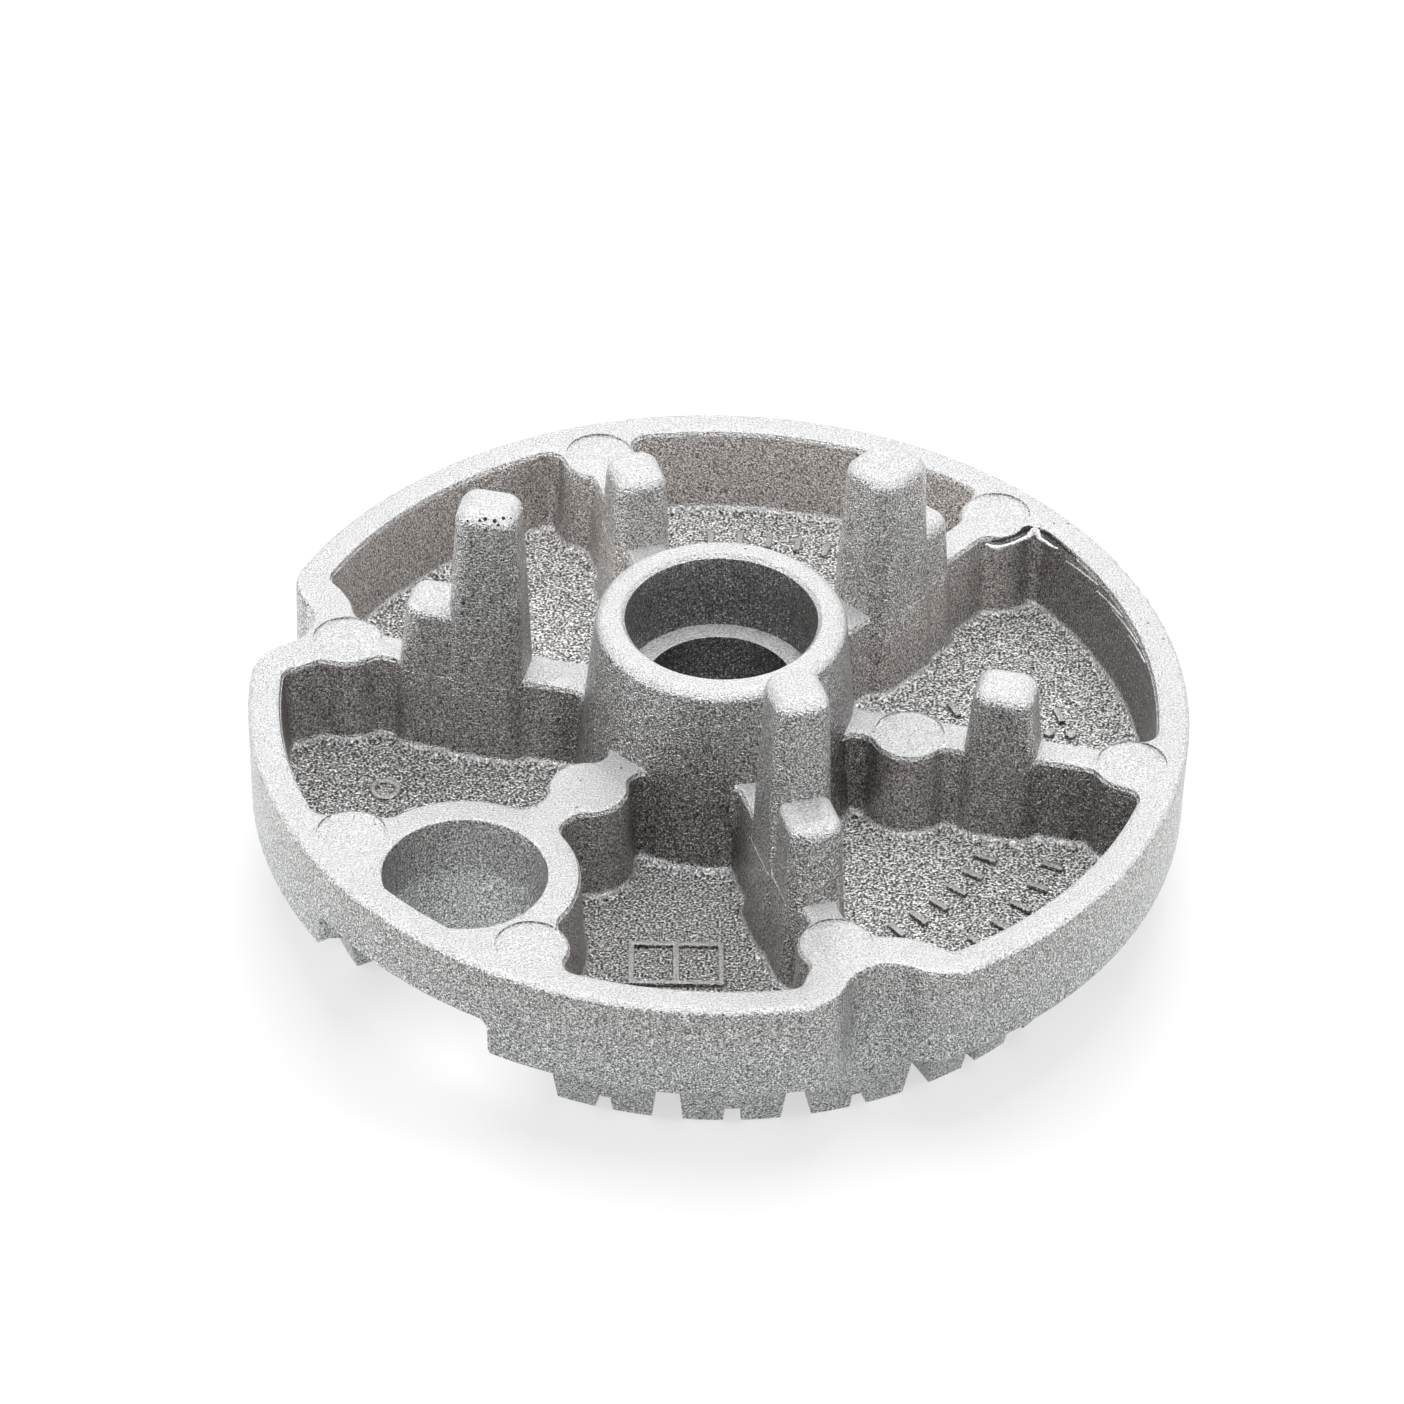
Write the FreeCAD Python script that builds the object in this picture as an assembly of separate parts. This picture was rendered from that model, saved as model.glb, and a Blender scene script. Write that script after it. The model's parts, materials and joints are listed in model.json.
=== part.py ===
import FreeCAD, Part
import math
import os

# Gas burner crown, one aluminium die casting lying with its flame ports down.
# Millimetres. The origin is on the bore axis, in the plane of the tooth tips; +Z is up.

# Driving sizes of the body
RIM_RADIUS = 35.0
RIM_HEIGHT = 15.4
WALL = 2.4
FLOOR_HEIGHT = 8.0
DEEP_FLOOR_HEIGHT = 7.4
DEEP_POCKET = 3
LIP_HEIGHT = 7.0
LIP_TAPER = 0.15
LIP_RADIUS = RIM_RADIUS - LIP_TAPER
SHELF_HEIGHT = 5.6
DECK_UNDERSIDE = 4.8
ROOT_HEIGHT = DECK_UNDERSIDE + 1.0
EDGE = 0.5
POCKET_EDGE = 0.45
POCKET_DRAFT = 3.5
FLOOR_FILLET = 0.8
CORNER_ROUND = 1.2
SMALLEST_POCKET = 10.0

# Central boss and the stepped gas passage through it
BOSS_HEIGHT = 23.25
BOSS_TOP_RADIUS = 9.25
BOSS_DRAFT = 5.6
BOSS_EDGE = 0.8
BORE_RADIUS = 7.15
LEDGE_HEIGHT = 16.7
THROAT_RADIUS = 5.6
THROAT_MOUTH_RADIUS = 6.2
THROAT_FLARE = 0.5
BORE_LEAD = 0.3
OUTLET_COLLAR_RADIUS = 8.4
OUTLET_COLLAR_HEIGHT = 3.6
OUTLET_COLLAR_TAPER = 0.4

# Ring of flame ports under the body
RING_SETBACK = 4.25
RING_THICKNESS = 5.15
TOOTH_TAPER = 0.85
TOOTH_INNER_TAPER = 0.5
RING_ROOT_RADIUS = RIM_RADIUS - RING_SETBACK
RING_TIP_RADIUS = RING_ROOT_RADIUS - TOOTH_TAPER
RING_INNER_RADIUS = RING_ROOT_RADIUS - RING_THICKNESS
RING_TIP_INNER_RADIUS = RING_INNER_RADIUS + TOOTH_INNER_TAPER
SLOT_FLOOR = 4.4
NOTCH_SLOT_FLOOR = 1.7
GAP_FLOOR = 3.8
GAP_WALL = 1.0
PORT_PITCH = 18.0
PORT_BLOCKS = 18
DEEP_SLOT_WIDTH = 2.3
SHALLOW_SLOT_WIDTH = 1.35
SLOT_DRAFT = 4.0
SLOT_MOUTH_ROUND = 0.45
TIP_EDGE = 0.35
SLOT_OVERRUN = 1.2

# Six arms stand at equal angles; the fourth carries the spark electrode hole
FIRST_ARM = 48.2
ARM_PITCH = 60.0
ELECTRODE_ARM = 3
RIB_HALF_WIDTH = 1.5
TALL_RIB_HALF_WIDTH = 1.65
NECK_HALF_WIDTH = 1.25

# Posts on the arms: a tall one on three arms, and a short one or a step on five
TALL_POST_DRAFT = 2.8
STEP_DRAFT = 5.0
POST_SIDE_DRAFT = 1.4
POST_CORNER = 1.35
POST_CROWN = 1.2
POST_CLEARANCE = 0.02
TALL_POST_ARMS = (2, 4)
TALL_POST_RADIUS = 17.63
TALL_POST_HALF_LENGTH = 2.28
TALL_POST_HALF_WIDTH = 2.05
TALL_POST_TOP = 30.55
STOUT_POST_ARM = 0
STOUT_POST_RADIUS = 18.1
STOUT_POST_HALF_LENGTH = 2.55
STOUT_POST_HALF_WIDTH = 2.35
STOUT_POST_TOP = 27.8
STEP_RADIUS = 21.5
STEP_HALF_LENGTH = 2.2
STEP_HALF_WIDTH = 2.0
STEP_TOP = 21.25
LOW_STEP_TOP = 20.6
HIGH_STEP_TOP = 22.1
STEP_TOPS = {0: LOW_STEP_TOP, 1: STEP_TOP, 2: STEP_TOP, 4: HIGH_STEP_TOP, 5: STEP_TOP}

# Electrode hole, the relief below it and the two notches in the outer wall
HOLE_ANGLE = 228.8
HOLE_SETBACK = 7.55
HOLE_ARM_RADIUS = RIM_RADIUS - HOLE_SETBACK
HOLE_RADIUS = 5.95
HOLE_TUBE_RADIUS = 8.35
HOLE_FLAT_WALL = 2.35
HOLE_FLAT_RADIUS = RIM_RADIUS - HOLE_FLAT_WALL
HOLE_EDGE = 0.3
RELIEF_ANGLE = 228.5
RELIEF_HALF_ANGLE = 14.1
RELIEF_CORNER_ROUND = 0.9
RELIEF_ROOF = 10.35
RELIEF_SETBACK = 8.0
RELIEF_INNER_RADIUS = RIM_RADIUS - RELIEF_SETBACK
WALL_NOTCH_ANGLES = (166.2, 291.4)
WALL_NOTCH_RADIUS = 3.3
WALL_NOTCH_ROUND = 4.2
WALL_NOTCH_OVERLAP = 0.05
WALL_NOTCH_DROP = 0.4
WALL_NOTCH_BACK = 6.4

# Round ejector marks, each with its radius from the axis and its angle
PIN_RADIUS = 2.6
PIN_DEPTH = 0.16
PIN_PAD_RADIUS = 2.8
PIN_INSET = 3.8
BACK_PIN_INSET = 4.1
NOTCH_PIN_INSET = 6.4
INNER_PIN_RADIUS = 14.55
PIN_MARKS = (
    (RIM_RADIUS - BACK_PIN_INSET, 108.3),
    (RIM_RADIUS - PIN_INSET, 47.8),
    (RIM_RADIUS - PIN_INSET, 348.3),
    (RIM_RADIUS - NOTCH_PIN_INSET, 168.1),
    (RIM_RADIUS - NOTCH_PIN_INSET, 288.0),
    (RIM_RADIUS - PIN_INSET, 211.9),
    (RIM_RADIUS - PIN_INSET, 245.2),
    (INNER_PIN_RADIUS, 346.2),
)
LETTER_PAD_RADIUS = 2.95
LETTER_PAD_OFFSET = 14.2

# How far a cutter runs past the metal, and how close two lengths count as the same
OVERRUN = 1.0
NEAR = 1e-4
FULL_TURN = 360.0

AXIS = FreeCAD.Vector(0, 0, 1)
ORIGIN = FreeCAD.Vector(0, 0, 0)
MITRE = 2


def arm_angle(index):
    """Angle of an arm in degrees."""
    return FIRST_ARM + ARM_PITCH * index


def polar(radius, angle, height=0.0):
    """Point at a radius and an angle in degrees."""
    turn = math.radians(angle)
    return FreeCAD.Vector(radius * math.cos(turn), radius * math.sin(turn), height)


def disc(radius, centre, height, thickness):
    """Upright cylinder whose foot is at the given height."""
    foot = FreeCAD.Vector(centre.x, centre.y, height)
    return Part.makeCylinder(radius, thickness, foot, AXIS)


def bar(inner, outer, half_width, angle, height, thickness):
    """Radial bar of constant width between two radii."""
    box = Part.makeBox(outer - inner, 2 * half_width, thickness, FreeCAD.Vector(inner, -half_width, height))
    box.rotate(ORIGIN, AXIS, angle)
    return box


def revolve(points, turn=FULL_TURN):
    """Solid of revolution from a closed outline of (radius, height) points and arcs."""
    edges = []
    previous = None
    first = None
    for item in points:
        if len(item) == 2:
            point = FreeCAD.Vector(item[0], 0, item[1])
            if previous is not None and point.distanceToPoint(previous) > NEAR:
                edges.append(Part.makeLine(previous, point))
        else:
            middle = FreeCAD.Vector(item[0], 0, item[1])
            point = FreeCAD.Vector(item[2], 0, item[3])
            edges.append(Part.Arc(previous, middle, point).toShape())
        if first is None:
            first = point
        previous = point
    if previous.distanceToPoint(first) > NEAR:
        edges.append(Part.makeLine(previous, first))
    face = Part.Face(Part.Wire(edges))
    return face.revolve(ORIGIN, AXIS, turn)


def quarter(radius):
    """Distance from a rounded corner's tangent line to the middle of its arc."""
    return radius * (1 - math.sqrt(0.5))


def turned_body():
    """Rim wall, deck and port ring in one turned blank, before any cutting."""
    bend = quarter(EDGE)
    return revolve([
        (0, RIM_HEIGHT),
        (RIM_RADIUS - EDGE, RIM_HEIGHT),
        (RIM_RADIUS - bend, RIM_HEIGHT - bend, RIM_RADIUS, RIM_HEIGHT - EDGE),
        (LIP_RADIUS, LIP_HEIGHT + EDGE),
        (LIP_RADIUS - bend, LIP_HEIGHT + bend, LIP_RADIUS - EDGE, LIP_HEIGHT),
        (RING_ROOT_RADIUS + EDGE, SHELF_HEIGHT),
        (RING_ROOT_RADIUS + bend, SHELF_HEIGHT - bend, RING_ROOT_RADIUS, SHELF_HEIGHT - EDGE),
        (RING_ROOT_RADIUS, SLOT_FLOOR),
        (RING_TIP_RADIUS, TIP_EDGE),
        (RING_TIP_RADIUS - TIP_EDGE, 0),
        (RING_TIP_INNER_RADIUS + TIP_EDGE, 0),
        (RING_TIP_INNER_RADIUS, TIP_EDGE),
        (RING_INNER_RADIUS, DECK_UNDERSIDE),
        (OUTLET_COLLAR_RADIUS + OUTLET_COLLAR_TAPER, DECK_UNDERSIDE),
        (OUTLET_COLLAR_RADIUS, OUTLET_COLLAR_HEIGHT),
        (0, OUTLET_COLLAR_HEIGHT),
    ])


def boss_radius(height):
    """Radius of the drafted boss at a height."""
    return BOSS_TOP_RADIUS + (BOSS_HEIGHT - height) * math.tan(math.radians(BOSS_DRAFT))


def boss():
    """Central boss with its drafted side and rounded top edge."""
    bend = quarter(BOSS_EDGE)
    edge_foot = BOSS_HEIGHT - BOSS_EDGE
    return revolve([
        (0, BOSS_HEIGHT),
        (BOSS_TOP_RADIUS - BOSS_EDGE, BOSS_HEIGHT),
        (BOSS_TOP_RADIUS - bend, BOSS_HEIGHT - bend, boss_radius(edge_foot), edge_foot),
        (boss_radius(ROOT_HEIGHT), ROOT_HEIGHT),
        (0, ROOT_HEIGHT),
    ])


def boss_feet():
    """Rounded foot of the boss in each pocket, at that pocket's own floor."""
    bend = quarter(FLOOR_FILLET)
    feet = []
    for index in range(6):
        floor = pocket_floor(index)
        foot = boss_radius(floor)
        fillet = revolve([
            (foot - OVERRUN, floor - OVERRUN),
            (foot - OVERRUN, floor + FLOOR_FILLET),
            (boss_radius(floor + FLOOR_FILLET), floor + FLOOR_FILLET),
            (foot + bend, floor + bend, foot + FLOOR_FILLET, floor),
            (foot + FLOOR_FILLET, floor - OVERRUN),
        ], ARM_PITCH)
        fillet.rotate(ORIGIN, AXIS, arm_angle(index))
        feet.append(fillet)
    return feet


def pocket_floor(index):
    """Floor height of the pocket that follows an arm."""
    return DEEP_FLOOR_HEIGHT if index == DEEP_POCKET else FLOOR_HEIGHT


def gas_passage():
    """Tool for the stepped bore, the throat and its flared outlet."""
    return revolve([
        (0, BOSS_HEIGHT + OVERRUN),
        (BORE_RADIUS + BORE_LEAD, BOSS_HEIGHT + OVERRUN),
        (BORE_RADIUS + BORE_LEAD, BOSS_HEIGHT),
        (BORE_RADIUS, BOSS_HEIGHT - BORE_LEAD),
        (BORE_RADIUS, LEDGE_HEIGHT),
        (THROAT_RADIUS, LEDGE_HEIGHT),
        (THROAT_MOUTH_RADIUS, OUTLET_COLLAR_HEIGHT + THROAT_FLARE),
        (THROAT_MOUTH_RADIUS + THROAT_FLARE, OUTLET_COLLAR_HEIGHT),
        (THROAT_MOUTH_RADIUS + THROAT_FLARE, OUTLET_COLLAR_HEIGHT - OVERRUN),
        (0, OUTLET_COLLAR_HEIGHT - OVERRUN),
    ])


def spread(draft, depth):
    """Sideways growth of a drafted face over a depth."""
    return depth * math.tan(math.radians(draft))


def rounded_rectangle(centre, half_length, half_width, height):
    """Closed outline of a post with round corners, its length along +X."""
    length = half_length - POST_CORNER
    width = half_width - POST_CORNER
    lean = POST_CORNER * math.sqrt(0.5)
    turns = []
    for index, (side, hand) in enumerate(((1, 1), (-1, 1), (-1, -1), (1, -1))):
        middle = FreeCAD.Vector(centre + side * length, hand * width, height)
        along = FreeCAD.Vector(side * POST_CORNER, 0, 0)
        across = FreeCAD.Vector(0, hand * POST_CORNER, 0)
        bulge = FreeCAD.Vector(side * lean, hand * lean, 0)
        first, last = (along, across) if index % 2 == 0 else (across, along)
        turns.append((middle + first, middle + bulge, middle + last))
    edges = []
    for index, (begin, bulge, end) in enumerate(turns):
        edges.append(Part.Arc(begin, bulge, end).toShape())
        edges.append(Part.makeLine(end, turns[(index + 1) % 4][0]))
    return Part.Wire(edges)


def all_posts():
    """Radius, half length, half width, end draft, angle and top of every post and step."""
    items = []
    for index, top in STEP_TOPS.items():
        items.append((STEP_RADIUS, STEP_HALF_LENGTH, STEP_HALF_WIDTH, STEP_DRAFT, arm_angle(index), top))
    for index in TALL_POST_ARMS:
        half = (TALL_POST_HALF_LENGTH, TALL_POST_HALF_WIDTH)
        items.append((TALL_POST_RADIUS, *half, TALL_POST_DRAFT, arm_angle(index), TALL_POST_TOP))
    half = (STOUT_POST_HALF_LENGTH, STOUT_POST_HALF_WIDTH)
    items.append((STOUT_POST_RADIUS, *half, TALL_POST_DRAFT, arm_angle(STOUT_POST_ARM), STOUT_POST_TOP))
    return items


def post(centre, half_length, half_width, draft, angle, top):
    """Drafted post from below the pocket floor to its rounded top."""
    foot = ROOT_HEIGHT
    long = half_length + spread(draft, top - foot)
    wide = half_width + spread(POST_SIDE_DRAFT, top - foot)
    near, far = centre - long, centre + long
    near_top, far_top = centre - half_length, centre + half_length
    body = Part.makeWedge(near, foot, -wide, -half_width, near_top, far, top, wide, half_width, far_top)
    body.rotate(ORIGIN, FreeCAD.Vector(1, 0, 0), 90)
    upright = [edge for edge in body.Edges if edge.BoundBox.ZLength > OVERRUN]
    body = softened(body.makeFillet(POST_CORNER, upright), POST_CROWN, top)
    body.rotate(ORIGIN, AXIS, angle)
    return body


def post_plan(centre, half_length, half_width, draft, angle, top):
    """Upright solid just outside a post where it passes the rim plane."""
    depth = top - RIM_HEIGHT
    long = half_length + spread(draft, depth) + POST_CLEARANCE
    wide = half_width + spread(POST_SIDE_DRAFT, depth) + POST_CLEARANCE
    body = Part.Face(rounded_rectangle(centre, long, wide, RIM_HEIGHT)).extrude(AXIS)
    body.rotate(ORIGIN, AXIS, angle)
    return body


def rim_plan():
    """Upright solids whose plan is the metal that reaches the rim plane."""
    level_and_depth = (RIM_HEIGHT, OVERRUN)
    solids = [disc(boss_radius(RIM_HEIGHT), ORIGIN, *level_and_depth)]
    for index in range(6):
        angle = arm_angle(index)
        if index == ELECTRODE_ARM:
            solids.append(bar(0, HOLE_ARM_RADIUS, RIB_HALF_WIDTH, angle, *level_and_depth))
            solids.append(disc(LETTER_PAD_RADIUS, polar(LETTER_PAD_OFFSET, angle), *level_and_depth))
        else:
            tall = index in TALL_POST_ARMS or index == STOUT_POST_ARM
            rib = TALL_RIB_HALF_WIDTH if tall else RIB_HALF_WIDTH
            solids.append(bar(0, STEP_RADIUS, rib, angle, *level_and_depth))
            solids.append(bar(STEP_RADIUS, RIM_RADIUS - WALL, NECK_HALF_WIDTH, angle, *level_and_depth))
    solids.extend(post_plan(*item) for item in all_posts())
    solids.append(disc(HOLE_TUBE_RADIUS, polar(HOLE_ARM_RADIUS, HOLE_ANGLE), *level_and_depth))
    for radius, angle in PIN_MARKS:
        solids.append(disc(PIN_PAD_RADIUS, polar(radius, angle), *level_and_depth))
    for angle in WALL_NOTCH_ANGLES:
        solids.append(disc(WALL_NOTCH_BACK, polar(RIM_RADIUS, angle), *level_and_depth))
    return solids


def pocket_outlines():
    """Closed outlines in the rim plane, one per pocket."""
    plan = disc(RIM_RADIUS - WALL, ORIGIN, RIM_HEIGHT, OVERRUN).cut(rim_plan())
    wires = []
    for solid in plan.Solids:
        foot = min(solid.Faces, key=lambda face: face.CenterOfMass.z)
        if foot.Area > SMALLEST_POCKET:
            wires.append(foot.OuterWire)
    return wires


def rounded_wire(wire, radius):
    """Plan outline with every corner rounded, by stepping it in, out and in again."""
    opened = wire.makeOffset2D(-radius, join=0).makeOffset2D(radius, join=0)
    return opened.makeOffset2D(radius, join=0).makeOffset2D(-radius, join=0)


def level(edge, height):
    """True for an edge that lies wholly in the plane at this height."""
    box = edge.BoundBox
    return abs(box.ZMin - height) < NEAR and abs(box.ZMax - height) < NEAR


def softened(shape, radius, height):
    """Round the edges in one level plane, with the largest radius that holds."""
    edges = [edge for edge in shape.Edges if level(edge, height)]
    for share in (1.0, 0.85, 0.7, 0.5):
        try:
            rounded = shape.makeFillet(share * radius, edges)
        except Exception:
            continue
        if rounded.isValid() and 0 < rounded.Volume < 1.02 * shape.Volume:
            return rounded
    return shape


def mouth(outline, size, join=0):
    """Cutter that rounds the rim plane's edge round an outline, in two slopes."""
    bend = quarter(size)
    rings = []
    for out, down in ((size, 0), (bend, bend), (0, size)):
        ring = outline.makeOffset2D(out, join=join) if out else outline.copy()
        ring.translate(FreeCAD.Vector(0, 0, -down))
        rings.append(ring)
    slopes = [Part.makeLoft(list(pair), True, True) for pair in zip(rings, rings[1:])]
    return slopes[0].fuse(slopes[1])


def pocket_tool(wire):
    """Drafted cutter for one pocket, with a rounded foot."""
    middle = wire.BoundBox.Center
    angle = math.degrees(math.atan2(middle.y, middle.x))
    floor = pocket_floor(int((angle - FIRST_ARM) % FULL_TURN // ARM_PITCH))
    depth = RIM_HEIGHT - floor
    plain = Part.Face(wire).extrude(FreeCAD.Vector(0, 0, -depth))
    for share in (1.0, 0.85, 0.7, 0.55, 0.4):
        try:
            top = rounded_wire(wire, share * CORNER_ROUND)
            bottom = top.makeOffset2D(-spread(POCKET_DRAFT, depth), join=0)
            bottom.translate(FreeCAD.Vector(0, 0, -depth))
            drafted = Part.makeLoft([top, bottom], True, True)
        except Exception:
            continue
        if drafted.isValid():
            plain = drafted
            rounded = softened(drafted, FLOOR_FILLET, floor)
            if rounded is not drafted:
                return rounded
    return plain


def port_slot(width, floor, angle, inner):
    """Radial cutter for one flame port, with a rounded root and mouth."""
    rise = math.tan(math.radians(SLOT_DRAFT))
    low = width / 2 - SLOT_MOUTH_ROUND * rise
    high = width / 2 - floor * rise
    bend = quarter(SLOT_MOUTH_ROUND)
    wide = low + SLOT_MOUTH_ROUND

    def spot(across, height):
        return FreeCAD.Vector(inner, across, height)

    edges = []
    for hand in (1, -1):
        edges.append(Part.makeLine(spot(0, floor), spot(hand * high, floor)))
        edges.append(Part.makeLine(spot(hand * high, floor), spot(hand * low, SLOT_MOUTH_ROUND)))
        mouth = (spot(hand * low, SLOT_MOUTH_ROUND), spot(hand * (low + bend), bend), spot(hand * wide, 0))
        edges.append(Part.Arc(*mouth).toShape())
        edges.append(Part.makeLine(spot(hand * wide, 0), spot(hand * wide, -OVERRUN)))
        edges.append(Part.makeLine(spot(hand * wide, -OVERRUN), spot(0, -OVERRUN)))
    outline = Part.Wire(Part.__sortEdges__(edges))
    tool = Part.Face(outline).extrude(FreeCAD.Vector(RING_ROOT_RADIUS + OVERRUN - inner, 0, 0))
    tool.rotate(ORIGIN, AXIS, angle)
    return tool


def sector(inner, outer, centre_angle, half_angle, foot, top):
    """Ring sector about one angle between two heights."""
    solid = Part.makeCylinder(outer, top - foot, FreeCAD.Vector(0, 0, foot), AXIS, 2 * half_angle)
    solid.rotate(ORIGIN, AXIS, centre_angle - half_angle)
    return solid.cut(disc(inner, ORIGIN, foot - OVERRUN, top - foot + 2 * OVERRUN))


def port_tools():
    """Deep and shallow ports in turn, and the plain gap at the electrode."""
    centre = arm_angle(ELECTRODE_ARM)
    gap = FULL_TURN - PORT_BLOCKS * PORT_PITCH
    through = RING_INNER_RADIUS - SLOT_OVERRUN
    behind = RING_TIP_INNER_RADIUS + GAP_WALL
    tools = []
    for index in range(PORT_BLOCKS):
        angle = centre + gap / 2 + PORT_PITCH * (index + 0.5)
        tools.append(port_slot(SHALLOW_SLOT_WIDTH, NOTCH_SLOT_FLOOR, angle, through))
        if index < PORT_BLOCKS - 1:
            tools.append(port_slot(DEEP_SLOT_WIDTH, SLOT_FLOOR, angle + PORT_PITCH / 2, through))
    for hand in (1, -1):
        tools.append(port_slot(DEEP_SLOT_WIDTH, GAP_FLOOR, centre + hand * gap / 2, behind))
    tools.append(sector(behind, RING_ROOT_RADIUS + OVERRUN, centre, gap / 2, -OVERRUN, GAP_FLOOR))
    return tools


def electrode_wall():
    """Wall that closes the gas chamber round the electrode hole."""
    tube = disc(HOLE_TUBE_RADIUS, polar(HOLE_ARM_RADIUS, HOLE_ANGLE), 0, ROOT_HEIGHT)
    return tube.common(disc(RING_TIP_INNER_RADIUS + GAP_WALL, ORIGIN, -OVERRUN, ROOT_HEIGHT + 2 * OVERRUN))


def electrode_tools():
    """Electrode hole with its flat outer side, and the open relief below it."""
    hole = disc(HOLE_RADIUS, polar(HOLE_ARM_RADIUS, HOLE_ANGLE), -OVERRUN, RIM_HEIGHT + OVERRUN)
    hole = hole.common(disc(HOLE_FLAT_RADIUS, ORIGIN, -OVERRUN, RIM_HEIGHT + OVERRUN))
    lid = max(hole.Faces, key=lambda face: face.CenterOfMass.z)
    reach = RIM_RADIUS + 3 * OVERRUN
    relief = sector(RELIEF_INNER_RADIUS, reach, RELIEF_ANGLE, RELIEF_HALF_ANGLE, -OVERRUN, RELIEF_ROOF)
    run = reach - RELIEF_INNER_RADIUS
    corners = [edge for edge in relief.Edges if level(edge, RELIEF_ROOF) and abs(edge.Length - run) < NEAR]
    relief = relief.makeFillet(RELIEF_CORNER_ROUND, corners)
    tools = [hole, mouth(lid.OuterWire, HOLE_EDGE, MITRE), relief]
    return tools + [relief_corner(hand, run) for hand in (1, -1)]


def relief_corner(hand, run):
    """Cutter that rounds the lower corner of the wall at one end of the relief."""
    size = RELIEF_CORNER_ROUND
    bend = quarter(size)
    low = LIP_HEIGHT + OVERRUN

    def spot(across, height):
        return FreeCAD.Vector(RELIEF_INNER_RADIUS, hand * across, LIP_HEIGHT + height)

    edges = [
        Part.Arc(spot(0, size), spot(bend, bend), spot(size, 0)).toShape(),
        Part.makeLine(spot(size, 0), spot(size, -low)),
        Part.makeLine(spot(size, -low), spot(-OVERRUN, -low)),
        Part.makeLine(spot(-OVERRUN, -low), spot(-OVERRUN, size)),
        Part.makeLine(spot(-OVERRUN, size), spot(0, size)),
    ]
    tool = Part.Face(Part.Wire(edges)).extrude(FreeCAD.Vector(run, 0, 0))
    tool.rotate(ORIGIN, AXIS, RELIEF_ANGLE + hand * RELIEF_HALF_ANGLE)
    return tool


def wall_notch(angle):
    """Cutter for one round notch in the outer wall, blended into the rim circle."""
    circle = RIM_RADIUS + WALL_NOTCH_OVERLAP
    inside = circle - WALL_NOTCH_ROUND
    reach = WALL_NOTCH_RADIUS + WALL_NOTCH_ROUND
    centre_x = (inside ** 2 + RIM_RADIUS ** 2 - reach ** 2) / (2 * RIM_RADIUS)
    centre_y = math.sqrt(inside ** 2 - centre_x ** 2)
    notch = FreeCAD.Vector(RIM_RADIUS, 0, 0)
    sides = []
    for hand in (1, -1):
        centre = FreeCAD.Vector(centre_x, hand * centre_y, 0)
        start = centre * (circle / inside)
        join = notch + (centre - notch) * (WALL_NOTCH_RADIUS / reach)
        between = (start - centre) + (join - centre)
        between.normalize()
        sides.append((start, centre + between * WALL_NOTCH_ROUND, join))
    left, right = sides
    far = RIM_RADIUS + 4 * OVERRUN
    far_left = FreeCAD.Vector(far, left[0].y, 0)
    far_right = FreeCAD.Vector(far, right[0].y, 0)
    bottom = FreeCAD.Vector(RIM_RADIUS - WALL_NOTCH_RADIUS, 0, 0)
    wire = Part.Wire([
        Part.Arc(*left).toShape(),
        Part.Arc(left[2], bottom, right[2]).toShape(),
        Part.Arc(right[2], right[1], right[0]).toShape(),
        Part.makeLine(right[0], far_right),
        Part.makeLine(far_right, far_left),
        Part.makeLine(far_left, left[0]),
    ])
    foot = SHELF_HEIGHT - WALL_NOTCH_DROP
    wire.translate(FreeCAD.Vector(0, 0, RIM_HEIGHT))
    tool = Part.Face(wire).extrude(FreeCAD.Vector(0, 0, foot - RIM_HEIGHT))
    tools = [tool, mouth(wire, EDGE, MITRE)]
    for item in tools:
        item.rotate(ORIGIN, AXIS, angle)
    return tools


def pin_marks():
    """Shallow round marks left by the ejector pins."""
    floor = RIM_HEIGHT - PIN_DEPTH
    return [disc(PIN_RADIUS, polar(radius, angle), floor, OVERRUN) for radius, angle in PIN_MARKS]


def burner_crown():
    """The whole casting as one solid."""
    posts = [post(*size) for size in all_posts()]
    outlines = pocket_outlines()
    shape = turned_body().fuse([electrode_wall()] + posts)
    shape = shape.cut([pocket_tool(wire) for wire in outlines])
    shape = shape.cut([mouth(rounded_wire(wire, CORNER_ROUND), POCKET_EDGE).cut(posts) for wire in outlines])
    shape = shape.fuse([boss()] + boss_feet())
    shape = shape.cut([gas_passage()] + electrode_tools())
    shape = shape.cut([tool for angle in WALL_NOTCH_ANGLES for tool in wall_notch(angle)])
    shape = shape.cut(pin_marks())
    shape = shape.cut(port_tools())
    return shape.removeSplitter()


def main():
    """Build the casting and write it out."""
    os.makedirs("parts", exist_ok=True)
    solid = max(burner_crown().Solids, key=lambda item: item.Volume)
    solid.exportStep("parts/burner_crown.step")


if __name__ == "__main__":
    main()
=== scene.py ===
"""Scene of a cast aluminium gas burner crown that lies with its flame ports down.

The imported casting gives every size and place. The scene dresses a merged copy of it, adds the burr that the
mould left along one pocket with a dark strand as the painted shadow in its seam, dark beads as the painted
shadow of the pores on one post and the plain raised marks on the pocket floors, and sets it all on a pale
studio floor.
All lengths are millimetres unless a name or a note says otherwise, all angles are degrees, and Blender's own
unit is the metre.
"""

from __future__ import annotations

import json
import logging
import math
from contextlib import contextmanager
from dataclasses import dataclass, field, replace
from enum import Enum
from typing import Iterator, Sequence, Union

import bpy
from mathutils import Matrix, Vector

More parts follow.
